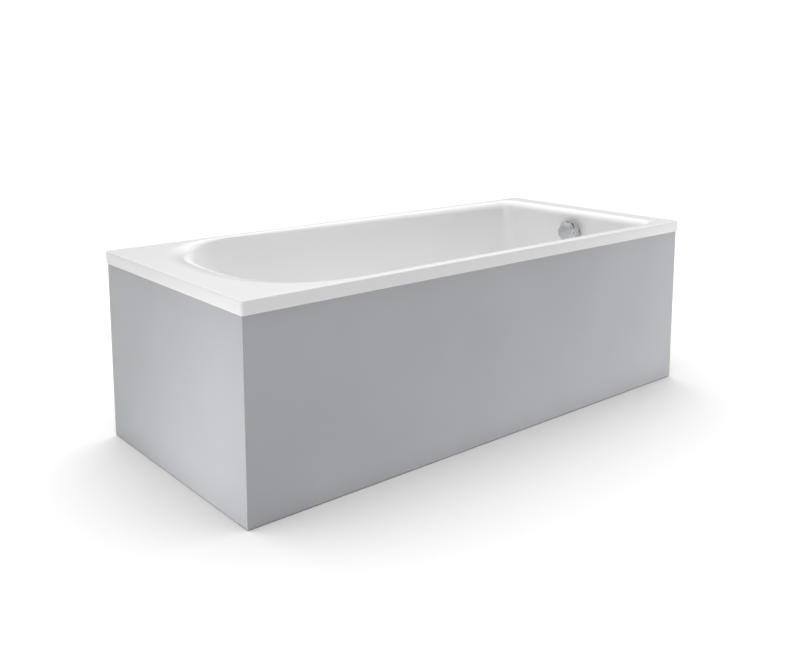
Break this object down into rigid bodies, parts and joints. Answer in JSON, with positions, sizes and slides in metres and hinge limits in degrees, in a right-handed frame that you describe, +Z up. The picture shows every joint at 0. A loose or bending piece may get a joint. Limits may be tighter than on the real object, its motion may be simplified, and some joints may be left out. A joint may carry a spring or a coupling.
{
  "type": "bathtub",
  "caption": "Rectangular built-in bathtub with a rounded backrest, matt panels on the front and ends, levelling feet and a knob-operated drain.",
  "frame": {"origin": "centre of the tub's footprint, on the floor", "axes": "+X towards the foot end with the overflow, -Y towards the front panel, +Y towards the wall, +Z up"},
  "size_m": [1.7, 0.75, 0.55],
  "materials": {
    "sanitary_acrylic": "glossy white acrylic",
    "chipboard": "raw chipboard",
    "timber": "planed softwood",
    "zinc_steel": "zinc-plated sheet and bar",
    "foot_plastic": "moulded black nylon",
    "panel_front_foil": "matt grey foil on moisture-resistant board",
    "panel_end_foil": "matt grey foil on moisture-resistant board",
    "chrome_plate": "polished chrome plate",
    "stem_brass": "turned brass",
    "waste_plastic": "moulded white polypropylene",
    "hose_plastic": "corrugated polypropylene",
    "gasket_rubber": "moulded black rubber",
    "cable_plastic": "extruded black sleeve"
  },
  "bodies": {
    "tub": {"tub_shell": "sanitary_acrylic", "base_board": "chipboard", "rim_batten_front": "timber", "rim_batten_back": "timber", "rim_batten_head": "timber", "rim_batten_foot": "timber", "leg_rail_head": "zinc_steel", "leg_rail_foot": "zinc_steel", "rail_nuts": "zinc_steel", "lock_nuts": "zinc_steel", "rail_screws": "zinc_steel", "panel_head": "panel_end_foil", "panel_foot": "panel_end_foil", "cup_magnets": "zinc_steel", "magnet_brackets": "zinc_steel", "floor_batten_front": "timber", "floor_batten_head": "timber", "floor_batten_foot": "timber", "floor_angles": "zinc_steel", "panel_angles": "zinc_steel", "wall_anchors": "zinc_steel", "fixing_screws": "zinc_steel", "batten_screws": "zinc_steel", "drain_flange": "chrome_plate", "flange_gasket": "gasket_rubber", "body_gasket": "gasket_rubber", "drain_body": "waste_plastic", "trap_cup": "waste_plastic", "trap_washer": "gasket_rubber", "trap_nut": "waste_plastic", "outlet_nut": "waste_plastic", "outlet_pipe": "waste_plastic", "pipe_stand": "foot_plastic", "overflow_flange": "chrome_plate", "overflow_gaskets": "gasket_rubber", "overflow_body": "waste_plastic", "housing_cover": "waste_plastic", "overflow_hose": "hose_plastic", "hose_nuts": "waste_plastic", "cable_sleeve": "cable_plastic"},
    "knob": {"knob": "chrome_plate", "knob_spindle": "zinc_steel", "cable_drum": "foot_plastic"},
    "lever": {"lift_lever": "zinc_steel", "lever_arm": "foot_plastic"},
    "pull_wire": {"pull_wire": "zinc_steel"},
    "lift_cup": {"lift_cup": "waste_plastic"},
    "plug": {"plug_cap": "chrome_plate", "plug_seal": "gasket_rubber", "plug_stem": "stem_brass"},
    "front_panel": {"panel_front": "panel_front_foil", "strike_plates": "zinc_steel"},
    "leg_head_front": {"foot_stud_head_front": "zinc_steel", "foot_pad_head_front": "foot_plastic"},
    "leg_head_back": {"foot_stud_head_back": "zinc_steel", "foot_pad_head_back": "foot_plastic"},
    "leg_foot_front": {"foot_stud_foot_front": "zinc_steel", "foot_pad_foot_front": "foot_plastic"},
    "leg_foot_back": {"foot_stud_foot_back": "zinc_steel", "foot_pad_foot_back": "foot_plastic"}
  },
  "joints": [
    {"name": "knob_turn", "type": "hinge", "parent": "tub", "child": "knob", "pos_m": [0.75369, 0, 0.473], "axis": [-0.9991, 0, 0.043], "range_deg": [0, 80]},
    {"name": "lever_turn", "type": "hinge", "parent": "tub", "child": "lever", "pos_m": [0.568, 0, 0.10988], "axis": [0, -1, 0], "range_deg": [0, 30]},
    {"name": "wire_pull", "type": "slide", "parent": "tub", "child": "pull_wire", "axis": [1, 0, 0], "range_m": [0, 0.0104]},
    {"name": "cup_lift", "type": "slide", "parent": "tub", "child": "lift_cup", "axis": [0, 0, 1], "range_m": [0, 0.0104]},
    {"name": "plug_out", "type": "slide", "parent": "lift_cup", "child": "plug", "axis": [0, 0, 1], "range_m": [0, 0.08]},
    {"name": "panel_off", "type": "slide", "parent": "tub", "child": "front_panel", "axis": [0, -1, 0], "range_m": [0, 0.25]},
    {"name": "level_head_front", "type": "slide", "parent": "tub", "child": "leg_head_front", "axis": [0, 0, 1], "range_m": [-0.03, 0]},
    {"name": "level_head_back", "type": "slide", "parent": "tub", "child": "leg_head_back", "axis": [0, 0, 1], "range_m": [-0.03, 0]},
    {"name": "level_foot_front", "type": "slide", "parent": "tub", "child": "leg_foot_front", "axis": [0, 0, 1], "range_m": [-0.03, 0]},
    {"name": "level_foot_back", "type": "slide", "parent": "tub", "child": "leg_foot_back", "axis": [0, 0, 1], "range_m": [-0.03, 0]}
  ],
  "couplings": [
    {"joint": "lever_turn", "follows": "knob_turn", "ratio": 0.375},
    {"joint": "cup_lift", "follows": "knob_turn", "m_per_rad": 0.007448},
    {"joint": "wire_pull", "follows": "knob_turn", "m_per_rad": 0.007412}
  ]
}
